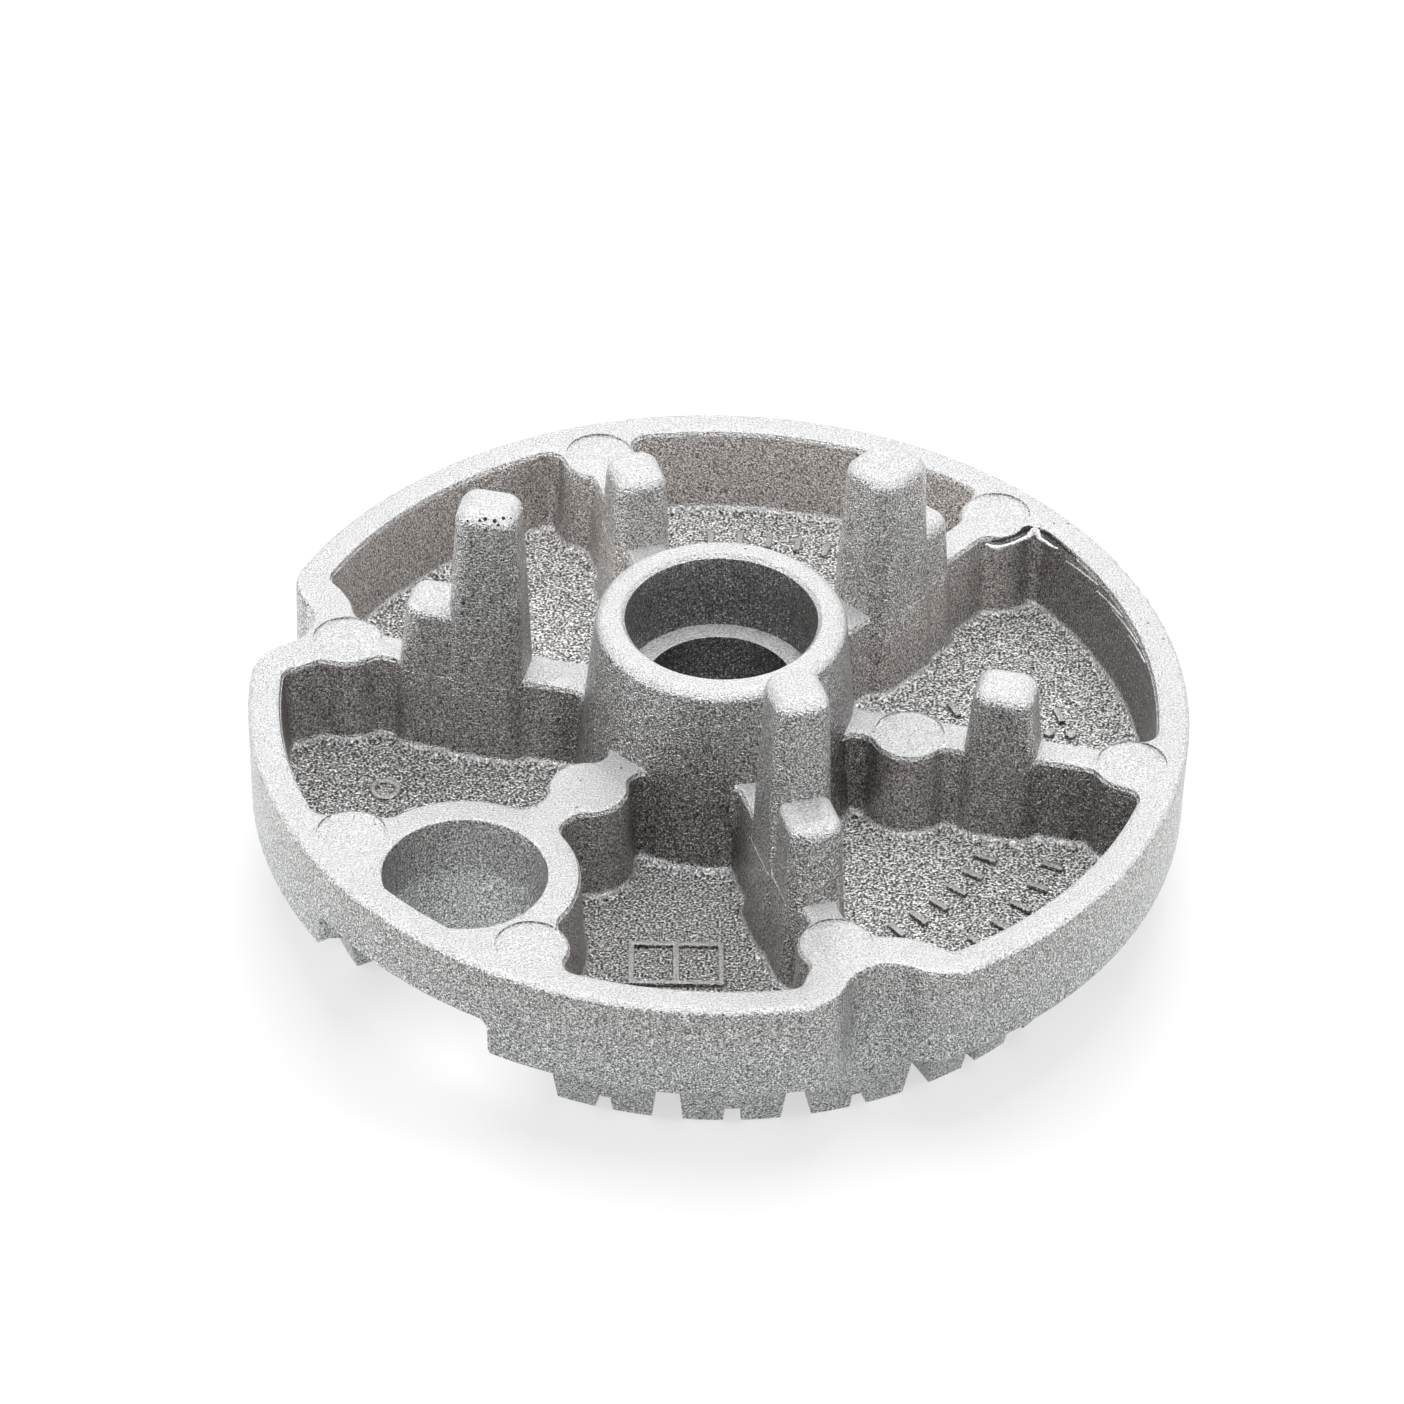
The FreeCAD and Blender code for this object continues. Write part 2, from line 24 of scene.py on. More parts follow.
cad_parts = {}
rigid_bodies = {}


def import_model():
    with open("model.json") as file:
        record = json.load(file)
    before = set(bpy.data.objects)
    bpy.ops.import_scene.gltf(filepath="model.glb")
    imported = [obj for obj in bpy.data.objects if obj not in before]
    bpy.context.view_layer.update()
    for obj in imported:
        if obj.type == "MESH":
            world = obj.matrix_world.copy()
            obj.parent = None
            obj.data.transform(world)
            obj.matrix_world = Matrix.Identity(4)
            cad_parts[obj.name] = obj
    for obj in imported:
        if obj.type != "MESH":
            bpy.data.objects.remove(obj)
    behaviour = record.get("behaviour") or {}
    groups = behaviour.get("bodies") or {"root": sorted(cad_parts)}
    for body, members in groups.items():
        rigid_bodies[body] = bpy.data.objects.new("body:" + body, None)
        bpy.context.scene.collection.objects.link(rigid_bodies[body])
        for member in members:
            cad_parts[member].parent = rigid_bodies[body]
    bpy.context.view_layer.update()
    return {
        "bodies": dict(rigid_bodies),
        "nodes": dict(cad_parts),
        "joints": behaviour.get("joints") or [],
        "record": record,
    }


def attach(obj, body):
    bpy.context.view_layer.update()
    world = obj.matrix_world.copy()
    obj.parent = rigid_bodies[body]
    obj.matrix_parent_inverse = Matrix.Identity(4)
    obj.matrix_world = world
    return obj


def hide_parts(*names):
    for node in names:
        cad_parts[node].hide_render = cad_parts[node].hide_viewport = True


MM = 0.001
QUARTER_TURN = 90.0
LOG = logging.getLogger("burner_crown")

# Socket numbers of the Mix node when it mixes colours.
MIX_SHARE = 0
MIX_FIRST = 6
MIX_SECOND = 7
MIX_RESULT = 2

Colour = tuple[float, float, float]
Place = tuple[float, float, float]
Value = Union["Wire", float]


class Axis(Enum):
    """A coordinate that a mask can read."""

    X = 0
    Y = 1
    Z = 2


class Wire:
    """One output socket of a shader tree, with Python's operators building its Math nodes."""

    def __init__(self, bench: "NodeBench", socket: bpy.types.NodeSocket) -> None:
        """Keep the socket and the bench that it belongs to.

        Args:
            bench: The node bench that new nodes are added with.
            socket: The output socket that this wire starts from.
        """
        self.bench = bench
        self.socket = socket

    def _math(self, operation: str, *values: Value) -> "Wire":
        """Add a Math node that works on the given values."""
        return self.bench.node("ShaderNodeMath", {"operation": operation}, dict(enumerate(values)))

    def __add__(self, other: Value) -> "Wire":
        """This wire plus another value."""
        return self._math("ADD", self, other)

    def __radd__(self, other: Value) -> "Wire":
        """Another value plus this wire."""
        return self._math("ADD", other, self)

    def __sub__(self, other: Value) -> "Wire":
        """This wire less another value."""
        return self._math("SUBTRACT", self, other)

    def __rsub__(self, other: Value) -> "Wire":
        """Another value less this wire."""
        return self._math("SUBTRACT", other, self)

    def __mul__(self, other: Value) -> "Wire":
        """This wire times another value."""
        return self._math("MULTIPLY", self, other)

    def __rmul__(self, other: Value) -> "Wire":
        """Another value times this wire."""
        return self._math("MULTIPLY", other, self)

    def __pow__(self, other: Value) -> "Wire":
        """This wire to a power."""
        return self._math("POWER", self, other)

    def __rpow__(self, other: Value) -> "Wire":
        """Another value to the power of this wire."""
        return self._math("POWER", other, self)

    def clamped(self) -> "Wire":
        """This wire held between 0 and 1."""
        return self.bench.node("ShaderNodeClamp", {}, {"Value": self, "Min": 0.0, "Max": 1.0})

    def ramp(self, low: float, high: float) -> "Wire":
        """Smooth step of this wire, 0 at low and 1 at high, which may lie below low.

        Args:
            low: The value at which the step starts.
            high: The value at which the step ends.

        Returns:
            The stepped wire.
        """
        inputs = {"Value": self, "From Min": low, "From Max": high, "To Min": 0.0, "To Max": 1.0}
        return self.bench.node("ShaderNodeMapRange", {"interpolation_type": "SMOOTHSTEP"}, inputs)


@dataclass
class NodeBench:
    """Adds nodes to one tree and joins them."""

    tree: bpy.types.NodeTree

    def node(self, kind: str, settings: dict, inputs: dict, output: Union[str, int] = 0) -> Wire:
        """Add a node, set it and feed its sockets.

        Args:
            kind: The node's type.
            settings: Attributes that are set before the sockets.
            inputs: Socket names or numbers, each with a wire or a plain value.
            output: The output that the returned wire starts from.

        Returns:
            The wire of the chosen output.
        """
        made = self.tree.nodes.new(kind)
        for name, setting in settings.items():
            setattr(made, name, setting)
        for key, value in inputs.items():
            if isinstance(value, Wire):
                self.tree.links.new(value.socket, made.inputs[key])
            else:
                made.inputs[key].default_value = value
        return Wire(self, made.outputs[output])

    def place(self, unit: float) -> Wire:
        """Object coordinates counted in the given unit of metres."""
        raw = self.node("ShaderNodeTexCoord", {}, {}, "Object")
        return self.scaled(raw, 1.0 / unit)

    def part(self, vector: Wire, axis: Axis) -> Wire:
        """One coordinate of a vector."""
        return self.node("ShaderNodeSeparateXYZ", {}, {0: vector}, axis.value)

    def noise(self, place: Wire, scale: float, detail: float = 1.0, roughness: float = 0.5) -> Wire:
        """Noise about 0.5 at a scale per unit of the place."""
        inputs = {"Vector": place, "Scale": scale, "Detail": detail, "Roughness": roughness}
        return self.node("ShaderNodeTexNoise", {}, inputs)

    def cells(self, place: Wire, scale: float) -> tuple[Wire, Wire]:
        """Random cells: the distance from their middle and their drawn colour."""
        distance = self.node("ShaderNodeTexVoronoi", {}, {"Vector": place, "Scale": scale}, "Distance")
        return distance, Wire(self, distance.socket.node.outputs["Color"])

    def blend(self, share: Value, first: Union[Wire, Colour], second: Union[Wire, Colour]) -> Wire:
        """Mix two colours.

        Args:
            share: How much of the second colour there is, from 0 to 1.
            first: The colour at a share of 0.
            second: The colour at a share of 1.

        Returns:
            The mixed colour.
        """
        first, second = (given if isinstance(given, Wire) else (*given, 1.0) for given in (first, second))
        inputs = {MIX_SHARE: share, MIX_FIRST: first, MIX_SECOND: second}
        return self.node("ShaderNodeMix", {"data_type": "RGBA"}, inputs, MIX_RESULT)

    def scaled(self, given: Union[Wire, Colour], factor: Value) -> Wire:
        """A colour or vector times a factor."""
        return self.node("ShaderNodeVectorMath", {"operation": "SCALE"}, {0: given, "Scale": factor})


@contextmanager
def editing(piece: bpy.types.Object) -> Iterator[None]:
    """Select one object alone and hold it in edit mode.

    Args:
        piece: The mesh object to edit.

    Yields:
        Nothing, while the object is in edit mode.
    """
    take_up(piece)
    bpy.ops.object.mode_set(mode="EDIT")
    yield
    bpy.ops.object.mode_set(mode="OBJECT")


def take_up(piece: bpy.types.Object) -> None:
    """Make one object the only selected and the active one.

    Args:
        piece: The object to select.
    """
    bpy.ops.object.select_all(action="DESELECT")
    piece.select_set(True)
    bpy.context.view_layer.objects.active = piece


def polar(radius: float, degrees: float, height: float = 0.0) -> Vector:
    """Point in metres at a radius and height in millimetres and an angle in degrees."""
    turn = math.radians(degrees)
    return Vector((radius * math.cos(turn), radius * math.sin(turn), height)) * MM


@dataclass(frozen=True)
class Step:
    """A smooth step from 0 at its start to 1 at its end, which may run either way."""

    start: float
    end: float

    def of(self, reading: Wire, base: float = 0.0) -> Wire:
        """The step of a reading, with the start and the end counted from a base."""
        return reading.ramp(base + self.start, base + self.end)


@dataclass(frozen=True)
class Tone:
    """How much painted light a zone gets, or painted shade below 0, and the step that bounds it."""

    share: float
    edge: Step

    def factor(self, reading: Wire, zone: Wire) -> Wire:
        """1 away from the zone, and 1 plus the share inside the zone and past the step."""
        return 1.0 + self.share * (self.edge.of(reading) * zone)


@dataclass(frozen=True)
class Upright:
    """An upright cylinder that marks off a zone of the part."""

    distance: float
    degrees: float
    radius: float
    blur: float

    def mask(self, bench: NodeBench, place: Wire) -> Wire:
        """Mark the inside of the cylinder.

        Args:
            bench: The node bench of the finish.
            place: The point's place in millimetres.

        Returns:
            1 inside the cylinder and 0 beyond its blurred edge.
        """
        axis = polar(self.distance, self.degrees) / MM
        no_height = (1.0, 1.0, 0.0)
        offset = bench.node("ShaderNodeVectorMath", {"operation": "SUBTRACT"}, {0: place, 1: axis})
        flat = bench.node("ShaderNodeVectorMath", {"operation": "MULTIPLY"}, {0: offset, 1: no_height})
        span = bench.node("ShaderNodeVectorMath", {"operation": "LENGTH"}, {0: flat}, "Value")
        return span.ramp(self.radius + self.blur, self.radius)


@dataclass(frozen=True)
class Skin:
    """Wires that the finish shares: where a point lies, how it faces and what zone it is in."""

    place: Wire
    height: Wire
    rise: Wire
    level: Wire
    pocket: Wire
    floor: Wire


@dataclass(frozen=True)
class ShotBlastedAluminium:
    """Raw aluminium casting, blasted with fine shot.

    The grain tilts the skin's facets. Those that look up get a painted highlight, as if lit from above, the
    walls are grey and the floors of the pockets, which the mould left coarse, lie between them. The zones of
    the walls and floors get painted light and shade, a few small cells get painted glints and the pores get
    painted shade.
    """

    name: str = "shot_blasted_aluminium"

    # Colours: painted highlight of the faces that look up, outer wall, posts and boss, pocket walls, floors
    # and painted glints.
    painted_top_light: Colour = (0.545, 0.545, 0.55)
    outside: Colour = (0.32, 0.328, 0.327)
    core: Colour = (0.318, 0.313, 0.306)
    pocket: Colour = (0.328, 0.306, 0.294)
    floor: Colour = (0.44, 0.436, 0.43)
    painted_glint: Colour = (1.0, 1.0, 1.0)

    # Heights and upright cylinders that bound the zones.
    rim_height: float = 15.4
    floor_height: float = 8.0
    lowest_floor: float = 7.0
    core_above_rim: float = 1.5
    pocket_top: Step = Step(5.0, -3.0)
    pocket_bottom: Step = Step(-0.8, -0.1)
    floor_edge: Step = Step(1.6, 0.4)
    bowl: Upright = Upright(0.0, 0.0, 32.7, 0.5)
    bore: Upright = Upright(0.0, 0.0, 7.4, 0.4)
    boss_foot: Upright = Upright(0.0, 0.0, 10.8, 3.0)
    electrode_hole: Upright = Upright(27.45, 228.8, 7.7, 0.5)
    wall_notches: Sequence[Upright] = (Upright(31.9, 166.2, 4.0, 0.4), Upright(31.9, 291.4, 4.0, 0.4))

    # Grain, in cells or waves per millimetre, and how strongly it tilts the facets and spreads the painted
    # highlight over them.
    fine_per_mm: float = 7.4
    coarse_per_mm: float = 5.4
    grain_depth: float = 0.2
    grain_swell: float = 0.8
    floor_grain_swell: float = 0.8
    facet_reach: float = 0.6
    level_calm: float = 0.5
    level_rise: Step = Step(0.3, 0.95)
    facet_rise: Step = Step(0.14, 0.46)
    wall_contrast: float = 2.7
    floor_contrast: float = 4.6
    top_light_least: float = 0.13
    top_light_swing: float = 1.74

    # Painted glints on a few small facets, and open gas pores with painted shade.
    glint_per_mm: float = 6.0
    glint_chance: Step = Step(0.68, 0.8)
    glint_least: float = 0.3
    glint_edge: Step = Step(0.5, 0.28)
    wall_glints: float = 0.9
    floor_glints: float = 0.5
    pores_per_mm: float = 0.42
    pore_edge: Step = Step(0.06, 0.035)
    pore_painted_shade: float = 0.7

    # Painted light and shade of the zones. The outer sides are bounded by the square of the place to the left
    # or right.
    ledge_painted_light: Tone = Tone(0.6, Step(20.0, 18.0))
    foot_painted_shade: Tone = Tone(-0.4, Step(23.0, 13.0))
    bore_painted_shade: Tone = Tone(-0.38, Step(23.4, 22.4))
    right_painted_shade: Tone = Tone(-0.48, Step(16.0, 28.0))
    relief_painted_light: Tone = Tone(0.35, Step(10.8, 10.0))
    back_painted_light: Tone = Tone(0.6, Step(3.0, 17.0))
    side_painted_light: Tone = Tone(0.28, Step(300.0, 1100.0))
    fillet_painted_light: float = 0.4
    floor_least: float = 0.72
    floor_slope: Step = Step(-30.0, 10.0)

    # Gloss of the walls, and what level faces and floors add to it or take from it.
    metallic: float = 0.95
    level_metallic: float = -0.3
    roughness: float = 0.3
    level_roughness: float = 0.12
    floor_roughness: float = -0.12

    def material(self) -> bpy.types.Material:
        """Build the finish as one node material.

        Returns:
            The material, which reads Object coordinates only.
        """
        made = bpy.data.materials.new(self.name)
        made.use_nodes = True
        bench = NodeBench(made.node_tree)
        shader = made.node_tree.nodes["Principled BSDF"]
        skin = self.skin(bench)
        fine = bench.noise(skin.place, self.fine_per_mm)
        coarse = bench.noise(skin.place, self.coarse_per_mm)
        grain = fine * (1.0 - skin.floor) + coarse * skin.floor
        metallic = self.metallic + self.level_metallic * skin.level
        roughness = self.roughness + self.level_roughness * skin.level + self.floor_roughness * skin.floor
        self.feed(made, shader.inputs["Base Color"], self.colour(bench, skin, grain))
        self.feed(made, shader.inputs["Metallic"], metallic)
        self.feed(made, shader.inputs["Roughness"], roughness)
        self.feed(made, shader.inputs["Normal"], self.relief(bench, skin, grain))
        return made

    @staticmethod
    def feed(material: bpy.types.Material, socket: bpy.types.NodeSocket, wire: Wire) -> None:
        """Join a wire to a socket of the shader."""
        material.node_tree.links.new(wire.socket, socket)

    def skin(self, bench: NodeBench) -> Skin:
        """Work out the shared wires.

        Args:
            bench: The node bench of the finish.

        Returns:
            The wires, with lengths in millimetres.
        """
        place = bench.place(MM)
        height = bench.part(place, Axis.Z)
        rise = bench.part(bench.node("ShaderNodeTexCoord", {}, {}, "Normal"), Axis.Z)
        level = self.level_rise.of(rise)
        low = self.pocket_top.of(height, self.rim_height)
        deep = self.pocket_bottom.of(height, self.lowest_floor)
        pocket = low * deep * self.bowl.mask(bench, place) * (1.0 - self.bore.mask(bench, place))
        for cut_out in (self.electrode_hole, *self.wall_notches):
            pocket = pocket * (1.0 - cut_out.mask(bench, place))
        floor = level * pocket * self.floor_edge.of(height, self.floor_height)
        return Skin(place, height, rise, level, pocket, floor)

    def colour(self, bench: NodeBench, skin: Skin, grain: Wire) -> Wire:
        """Colour of the skin, with its painted highlight, painted glints and the painted shade of its pores.

        Args:
            bench: The node bench of the finish.
            skin: The shared wires.
            grain: Noise about 0.5 that tilts the facets.

        Returns:
            The colour wire.
        """
        swing = 2.0 * grain
        # Painted light on the ledge in the bore, and a painted highlight for the facets that look up, as if
        # lit from above.
        ledge = self.ledge_painted_light.factor(skin.height, self.bore.mask(bench, skin.place))
        top = bench.scaled(self.painted_top_light, (self.top_light_least + self.top_light_swing * grain) * ledge)
        reach = self.facet_reach * (1.0 - self.level_calm * skin.level)
        lit_facet = self.facet_rise.of(skin.rise + reach * (swing - 1.0))
        base = bench.scaled(self.floor, swing ** self.floor_contrast * self.floor_painted_shade(bench, skin))
        surface = bench.blend(skin.floor, bench.blend(lit_facet, self.wall(bench, skin, swing), top), base)
        # Painted glints on a few cells.
        share = self.wall_glints * (1.0 - skin.level) + self.floor_glints * skin.floor
        surface = bench.blend(self.painted_glints(bench, skin) * share, surface, self.painted_glint)
        # Painted shade in the pores.
        return bench.scaled(surface, 1.0 - self.pore_painted_shade * self.pores(bench, skin))

    def wall(self, bench: NodeBench, skin: Skin, swing: Wire) -> Wire:
        """Colour of the facets that look sideways: outer wall, posts and boss, and pocket walls, with painted
        light and shade.

        Args:
            bench: The node bench of the finish.
            skin: The shared wires.
            swing: The grain, about 1.

        Returns:
            The colour wire.
        """
        tall = skin.height.ramp(self.floor_height, self.rim_height + self.core_above_rim)
        plain = bench.blend(skin.pocket, bench.blend(tall, self.outside, self.core), self.pocket)
        return bench.scaled(plain, swing ** self.wall_contrast * self.wall_painted_light(bench, skin))

    def wall_painted_light(self, bench: NodeBench, skin: Skin) -> Wire:
        """Painted light and shade on the walls: painted shade in the bore, at the boss's foot and in the
        right-hand pockets, and painted light at the back, on the outer sides, low in the electrode hole and
        on the pocket fillets.

        Args:
            bench: The node bench of the finish.
            skin: The shared wires.

        Returns:
            The factor on the walls' colour.
        """
        right = bench.part(skin.place, Axis.X)
        behind = bench.part(skin.place, Axis.Y)
        # Four times x times one less x is 1 halfway, which is where a fillet leaves the floor; the pocket
        # fillets get painted light there.
        hollow = 4.0 * skin.level * (1.0 - skin.level) * skin.pocket
        tones = (
            self.foot_painted_shade.factor(skin.height, self.boss_foot.mask(bench, skin.place)),
            self.bore_painted_shade.factor(skin.height, self.bore.mask(bench, skin.place)),
            self.right_painted_shade.factor(right, skin.pocket),
            self.relief_painted_light.factor(skin.height, self.electrode_hole.mask(bench, skin.place)),
            self.back_painted_light.factor(behind, self.bowl.mask(bench, skin.place)),
            self.side_painted_light.factor(right * right, 1.0 - skin.pocket),
            1.0 + self.fillet_painted_light * hollow,
        )
        return math.prod(tones)

    def floor_painted_shade(self, bench: NodeBench, skin: Skin) -> Wire:
        """Painted shade on the floors: darker towards the front left, where the walls shade them."""
        across = bench.part(skin.place, Axis.X) + bench.part(skin.place, Axis.Y)
        return self.floor_least + (1.0 - self.floor_least) * self.floor_slope.of(across)

    def painted_glints(self, bench: NodeBench, skin: Skin) -> Wire:
        """Mark the painted glints: a few small cells painted bright, as if their facets caught the light.

        Args:
            bench: The node bench of the finish.
            skin: The shared wires.

        Returns:
            1 at most on a few cells, and 0 between them.
        """
        distance, drawn = bench.cells(skin.place, self.glint_per_mm)
        chosen = self.glint_chance.of(bench.part(drawn, Axis.X))
        strength = self.glint_least + (1.0 - self.glint_least) * bench.part(drawn, Axis.Y)
        return chosen * strength * self.glint_edge.of(distance)

    def pores(self, bench: NodeBench, skin: Skin) -> Wire:
        """1 in the few gas pores that open on the level faces, which get painted shade."""
        distance, _ = bench.cells(skin.place, self.pores_per_mm)
        return self.pore_edge.of(distance) * skin.level

    def relief(self, bench: NodeBench, skin: Skin, grain: Wire) -> Wire:
        """Normal from the grain's height, which is greater on the floors.

        Args:
            bench: The node bench of the finish.
            skin: The shared wires.
            grain: Noise about 0.5.

        Returns:
            The normal wire.
        """
        height = grain * (self.grain_swell + self.floor_grain_swell * skin.floor)
        inputs = {"Height": height, "Distance": self.grain_depth * MM, "Strength": 1.0}
        return bench.node("ShaderNodeBump", {}, inputs)


@dataclass(frozen=True)
class PaintedSeamShadow:
    """Painted shadow: dull and nearly black, for the shade in the open seam under a burr and in the pores."""

    name: str = "painted_seam_shadow"
    colour: Colour = (0.03, 0.028, 0.026)
    roughness: float = 0.9

    def material(self) -> bpy.types.Material:
        """Build the finish as one plain material.

        Returns:
            The material.
        """
        made = bpy.data.materials.new(self.name)
        made.use_nodes = True
        shader = made.node_tree.nodes["Principled BSDF"]
        shader.inputs["Base Color"].default_value = (*self.colour, 1.0)
        shader.inputs["Roughness"].default_value = self.roughness
        return made


BLASTED = ShotBlastedAluminium()
TORN = replace(
    BLASTED,
    name="burr_aluminium",
    painted_top_light=(0.8, 0.8, 0.8),
    outside=(0.9, 0.9, 0.9),
    pocket=(0.9, 0.9, 0.9),
)
RAISED = replace(
    BLASTED,
    name="raised_mark_aluminium",
    painted_top_light=(0.46, 0.455, 0.45),
    # A dark pocket colour: painted shade on the marks' sides.
    pocket=(0.13, 0.125, 0.12),
    floor_height=5.0,
)


@dataclass
class Casting:
    """The crown itself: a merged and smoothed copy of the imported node."""

    finish: bpy.types.Material
    node: str = "burner_crown"
    merge_distance: float = 0.0005
    smooth_degrees: float = 34.0
    area_weight: int = 100

    def build(self, packed: bpy.types.Object) -> bpy.types.Object:
        """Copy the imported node, join its loose triangles and shade it as one skin.

        Args:
            packed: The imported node's object.

        Returns:
            The dressed casting.
        """
        mesh = packed.data.copy()
        mesh.name = "crown_casting"
        piece = bpy.data.objects.new("crown_casting", mesh)
        bpy.context.scene.collection.objects.link(piece)
        with editing(piece):
            bpy.ops.mesh.select_all(action="SELECT")
            bpy.ops.mesh.remove_doubles(threshold=self.merge_distance * MM)
        take_up(piece)
        bpy.ops.mesh.customdata_custom_splitnormals_clear()
        bpy.ops.object.shade_smooth_by_angle(angle=math.radians(self.smooth_degrees))
        self.even_normals(piece)
        dress(piece, self.finish)
        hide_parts(self.node)
        return piece

    def even_normals(self, piece: bpy.types.Object) -> None:
        """Weight the normals by face area, so that level faces stay level beside their fillets.

        Args:
            piece: The casting, already selected.
        """
        modifier = piece.modifiers.new("even", "WEIGHTED_NORMAL")
        modifier.keep_sharp = True
        modifier.weight = self.area_weight
        bpy.ops.object.modifier_apply(modifier=modifier.name)


@dataclass(frozen=True)
class Strand:
    """A thin ragged run through points given as radius, degrees and height."""

    name: str
    path: Sequence[Place]
    thickness: float
    ragged: float
    swelling: Sequence[float] = ()
    section_rings: int = 2
    merge_distance: float = 0.001
    smooth_degrees: float = 60.0
    seed: int = 7

    def build(self, finish: bpy.types.Material) -> bpy.types.Object:
        """Sweep a round section along the path and roughen it.

        Args:
            finish: The strand's material.

        Returns:
            The strand as a closed mesh.
        """
        bpy.ops.object.select_all(action="DESELECT")
        bpy.ops.curve.primitive_nurbs_path_add(location=(0.0, 0.0, 0.0))
        strand = bpy.context.active_object
        strand.name = self.name
        points = strand.data.splines[0].points
        points.add(len(self.path) - len(points))
        widths = self.swelling or [1.0] * len(self.path)
        for point, place, width in zip(points, self.path, widths):
            point.co = (*polar(*place), 1.0)
            point.radius = width
        strand.data.bevel_depth = self.thickness * MM
        strand.data.bevel_resolution = self.section_rings
        strand.data.use_fill_caps = True
        bpy.ops.object.convert(target="MESH")
        self.roughen(strand)
        dress(strand, finish)
        return strand

    def roughen(self, strand: bpy.types.Object) -> None:
        """Push the points about, the same way each run.

        Args:
            strand: The swept mesh.
        """
        with editing(strand):
            bpy.ops.mesh.select_all(action="SELECT")
            bpy.ops.mesh.remove_doubles(threshold=self.merge_distance * MM)
            bpy.ops.transform.vertex_random(offset=self.ragged * MM, uniform=1.0, seed=self.seed)
            bpy.ops.mesh.normals_make_consistent(inside=False)
        take_up(strand)
        bpy.ops.object.shade_smooth_by_angle(angle=math.radians(self.smooth_degrees))


@dataclass(frozen=True)
class Hair:
    """Fine hair of metal that climbs along a pocket's edge in short strides."""

    first: float
    count: int
    radius: float = 32.5
    waver: float = 0.04
    stride: float = 1.5
    foot: float = 14.1
    climb: float = 0.12
    thickness: float = 0.07
    ragged: float = 0.03

    def strand(self) -> Strand:
        """The hair as a strand."""
        path = tuple(self.point(step) for step in range(self.count))
        return Strand("burr_hair", path, self.thickness, self.ragged)

    def point(self, step: int) -> Place:
        """Radius, degrees and height of one point, every second one a little further out."""
        out = self.radius + self.waver * (step % 2)
        return out, self.first - self.stride * step, self.foot + self.climb * step


LIP = Strand(
    "burr_lip",
    (
        (28.15, 44.6, 15.0), (28.2, 43.4, 15.15), (28.45, 42.1, 15.1), (29.0, 42.1, 15.2),
        (29.8, 41.4, 15.2), (30.4, 41.5, 15.35), (31.05, 40.9, 15.3), (31.6, 41.4, 15.6),
        (31.75, 40.7, 15.65), (31.4, 39.9, 15.25), (31.8, 38.9, 15.3), (31.8, 38.1, 15.1),
        (32.1, 37.1, 15.1),
    ),
    thickness=0.17,
    ragged=0.035,
    swelling=(0.4, 1.0, 1.3, 0.7, 1.0, 0.7, 1.3, 2.0, 1.9, 0.7, 0.9, 0.6, 0.3),
)
# A dark strand that paints the shadow in the open seam behind the lip.
SEAM_SHADOW = Strand(
    "burr_seam_shadow",
    (
        (28.5, 44.0, 15.3), (29.0, 43.2, 15.3), (29.8, 42.9, 15.25), (30.5, 42.4, 15.3),
        (31.3, 42.9, 15.35), (31.9, 42.6, 15.35), (32.2, 41.5, 15.2), (32.6, 40.2, 15.3),
        (32.35, 38.9, 15.2), (32.65, 37.5, 15.2), (32.4, 35.9, 15.1), (32.6, 34.3, 15.1),
    ),
    thickness=0.1,
    ragged=0.06,
    swelling=(0.5, 1.2, 0.5, 0.9, 2.0, 2.2, 0.7, 1.3, 0.6, 1.2, 0.5, 0.3),
)
HAIRS = (Hair(36.0, 6), Hair(28.5, 6), Hair(24.0, 7), Hair(18.5, 6))


@dataclass(frozen=True)
class MouldBurr:
    """Ragged lip of metal that the mould left at one pocket, a dark strand as the painted shadow in the seam
    behind it, and fine hairs.
    """

    finish: bpy.types.Material
    shadow: bpy.types.Material

    def build(self) -> list[bpy.types.Object]:
        """Sweep the lip, the hairs and the seam's painted shadow.

        Returns:
            The burr in two pieces: the metal and the seam's painted shadow.
        """
        metal = [LIP.build(self.finish)]
        metal.extend(hair.strand().build(self.finish) for hair in HAIRS)
        return [joined(metal), SEAM_SHADOW.build(self.shadow)]


@dataclass(frozen=True)
class Pits:
    """Dark beads that paint the shadow in small open pores along the front edge of one post's top, given as
    radius, degrees and size.
    """

    shadow: bpy.types.Material
    drop_height: float = 40.0
    sunk_share: float = 0.5
    fineness: int = 2
    places: Sequence[tuple[float, float, float]] = (
        (19.2, 174.9, 0.16), (18.9, 173.9, 0.11), (18.0, 173.9, 0.13), (17.6, 173.6, 0.17),
        (16.9, 173.9, 0.18), (16.6, 174.6, 0.12), (16.3, 173.1, 0.16), (15.8, 172.2, 0.1),
    )

    def build(self, casting: bpy.types.Object) -> bpy.types.Object:
        """Sink a small dark bead, the painted shadow of a pore, into the skin at each place.

        Args:
            casting: The casting that the places are dropped onto.

        Returns:
            The pits as one piece.
        """
        whole = joined([self.bead(casting, *place) for place in self.places])
        bpy.ops.object.transform_apply(location=True, rotation=True, scale=True)
        whole.name = "post_pit_shadows"
        dress(whole, self.shadow)
        return whole

    def bead(
        self, casting: bpy.types.Object, distance: float, degrees: float, size: float,
    ) -> bpy.types.Object:
        """One bead where a plumb line meets the casting.

        Args:
            casting: The casting that the line is dropped onto.
            distance: The line's distance from the bore's axis.
            degrees: The line's angle round the axis.
            size: The bead's radius.

        Returns:
            The bead.
        """
        above = polar(distance, degrees, self.drop_height)
        _, spot, _, _ = casting.ray_cast(above, Vector((0.0, 0.0, -1.0)))
        middle = spot - Vector((0.0, 0.0, self.sunk_share * size * MM))
        bpy.ops.object.select_all(action="DESELECT")
        bpy.ops.mesh.primitive_ico_sphere_add(subdivisions=self.fineness, radius=size * MM, location=middle)
        return bpy.context.active_object


